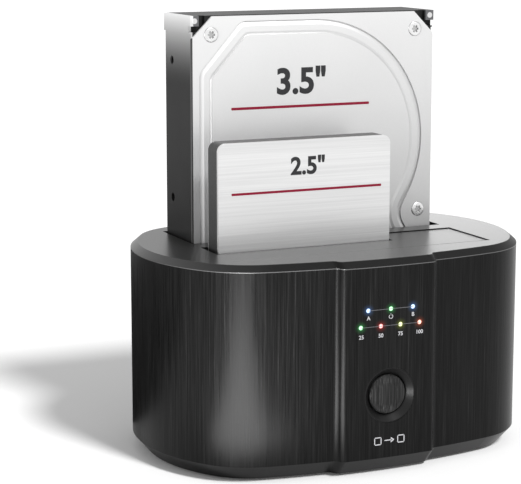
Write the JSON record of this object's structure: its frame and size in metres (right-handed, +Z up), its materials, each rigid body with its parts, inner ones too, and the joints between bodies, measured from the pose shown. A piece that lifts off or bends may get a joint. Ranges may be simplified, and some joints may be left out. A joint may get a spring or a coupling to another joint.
{
  "type": "drive duplicator",
  "caption": "Oval desktop drive duplicator with a raised front panel, lights, a push button and spring-flap bays holding a 3.5-inch drive and a 2.5-inch drive.",
  "frame": {"origin": "middle of the footprint, at the underside of the rubber feet", "axes": "+X to the object's right as seen from the front, +Y to the back, +Z up along the drives' insertion direction"},
  "size_m": [0.1492, 0.104, 0.163],
  "materials": {
    "brushed_black": "black plastic with a fine vertical brushed grain",
    "satin_black": "satin dark grey moulding",
    "satin_black_base": "satin dark grey moulding",
    "foot_rubber": "matt rubber",
    "screw_steel": "zinc plated",
    "screw_bright": "bright plated",
    "well_black": "matt moulding",
    "socket_black": "moulded insulator",
    "flap_black": "satin moulding",
    "spring_steel": "spring strip",
    "board_green": "solder mask",
    "chip_black": "moulded package",
    "capacitor_can": "can",
    "port_steel": "plated shell",
    "jack_black": "moulding",
    "rocker_black": "polished moulding",
    "diode_white": "clear resin",
    "lens_blue": "lit lens",
    "lens_green": "lit lens",
    "lens_red": "lit lens",
    "lens_yellow": "lit lens",
    "lens_orange": "lit lens",
    "dish_black": "satin dish",
    "cast_dark": "dark coated casting",
    "cover_silver": "satin sheet",
    "ssd_silver": "brushed sheet",
    "ssd_grey": "dark anodised"
  },
  "bodies": {
    "dock": {"outer_shell": "brushed_black", "top_cover": "satin_black", "base_tray": "satin_black_base", "rubber_feet": "foot_rubber", "base_screws": "screw_steel", "rear_bay_liner": "well_black", "rear_drive_socket": "socket_black", "front_bay_liner": "well_black", "front_drive_socket": "socket_black", "flap_springs": "spring_steel", "main_board": "board_green", "board_screws": "screw_steel", "bridge_chips": "chip_black", "board_capacitors": "capacitor_can", "usb_socket": "port_steel", "power_jack": "jack_black", "rocker_frame": "jack_black", "panel_board": "board_green", "indicator_diodes": "diode_white", "panel_board_screws": "screw_steel", "button_switch": "chip_black", "lens_drive_a": "lens_blue", "lens_power": "lens_green", "lens_drive_b": "lens_blue", "lens_25": "lens_green", "lens_50": "lens_red", "lens_75": "lens_yellow", "lens_100": "lens_orange", "button_dish": "dish_black"},
    "button": {"clone_button": "brushed_black"},
    "rocker": {"power_rocker": "rocker_black"},
    "front_door": {"front_flap": "flap_black"},
    "rear_door": {"rear_flap": "flap_black"},
    "hard_drive": {"hdd_casting": "cast_dark", "hdd_cover": "cover_silver", "hdd_cover_screws": "screw_bright", "hdd_circuit_board": "board_green", "hdd_connector": "socket_black"},
    "small_drive": {"ssd_cover": "ssd_silver", "ssd_case": "ssd_grey", "ssd_board": "board_green", "ssd_memory_chips": "chip_black", "ssd_connector": "socket_black"}
  },
  "joints": [
    {"name": "hard_drive_lift", "type": "slide", "parent": "dock", "child": "hard_drive", "axis": [0, 0, 1], "range_m": [0, 0.075]},
    {"name": "small_drive_lift", "type": "slide", "parent": "dock", "child": "small_drive", "axis": [0, 0, 1], "range_m": [0, 0.075]},
    {"name": "front_flap_hinge", "type": "hinge", "parent": "dock", "child": "front_door", "pos_m": [0, -0.03165, 0.0782], "axis": [-1, 0, 0], "range_deg": [0, 88], "stiffness_Nm_per_rad": 0.004, "springref_deg": -34.38},
    {"name": "rear_flap_hinge", "type": "hinge", "parent": "dock", "child": "rear_door", "pos_m": [0, 0.00625, 0.0782], "axis": [1, 0, 0], "range_deg": [-0.6, 0.9]},
    {"name": "button_press", "type": "slide", "parent": "dock", "child": "button", "axis": [0, 1, 0], "range_m": [0, 0.0012], "stiffness_N_per_m": 300, "springref_m": -0.002},
    {"name": "rocker_tip", "type": "hinge", "parent": "dock", "child": "rocker", "pos_m": [0.018, 0.049, 0.0178], "axis": [-1, 0, 0], "range_deg": [0, 14]}
  ]
}
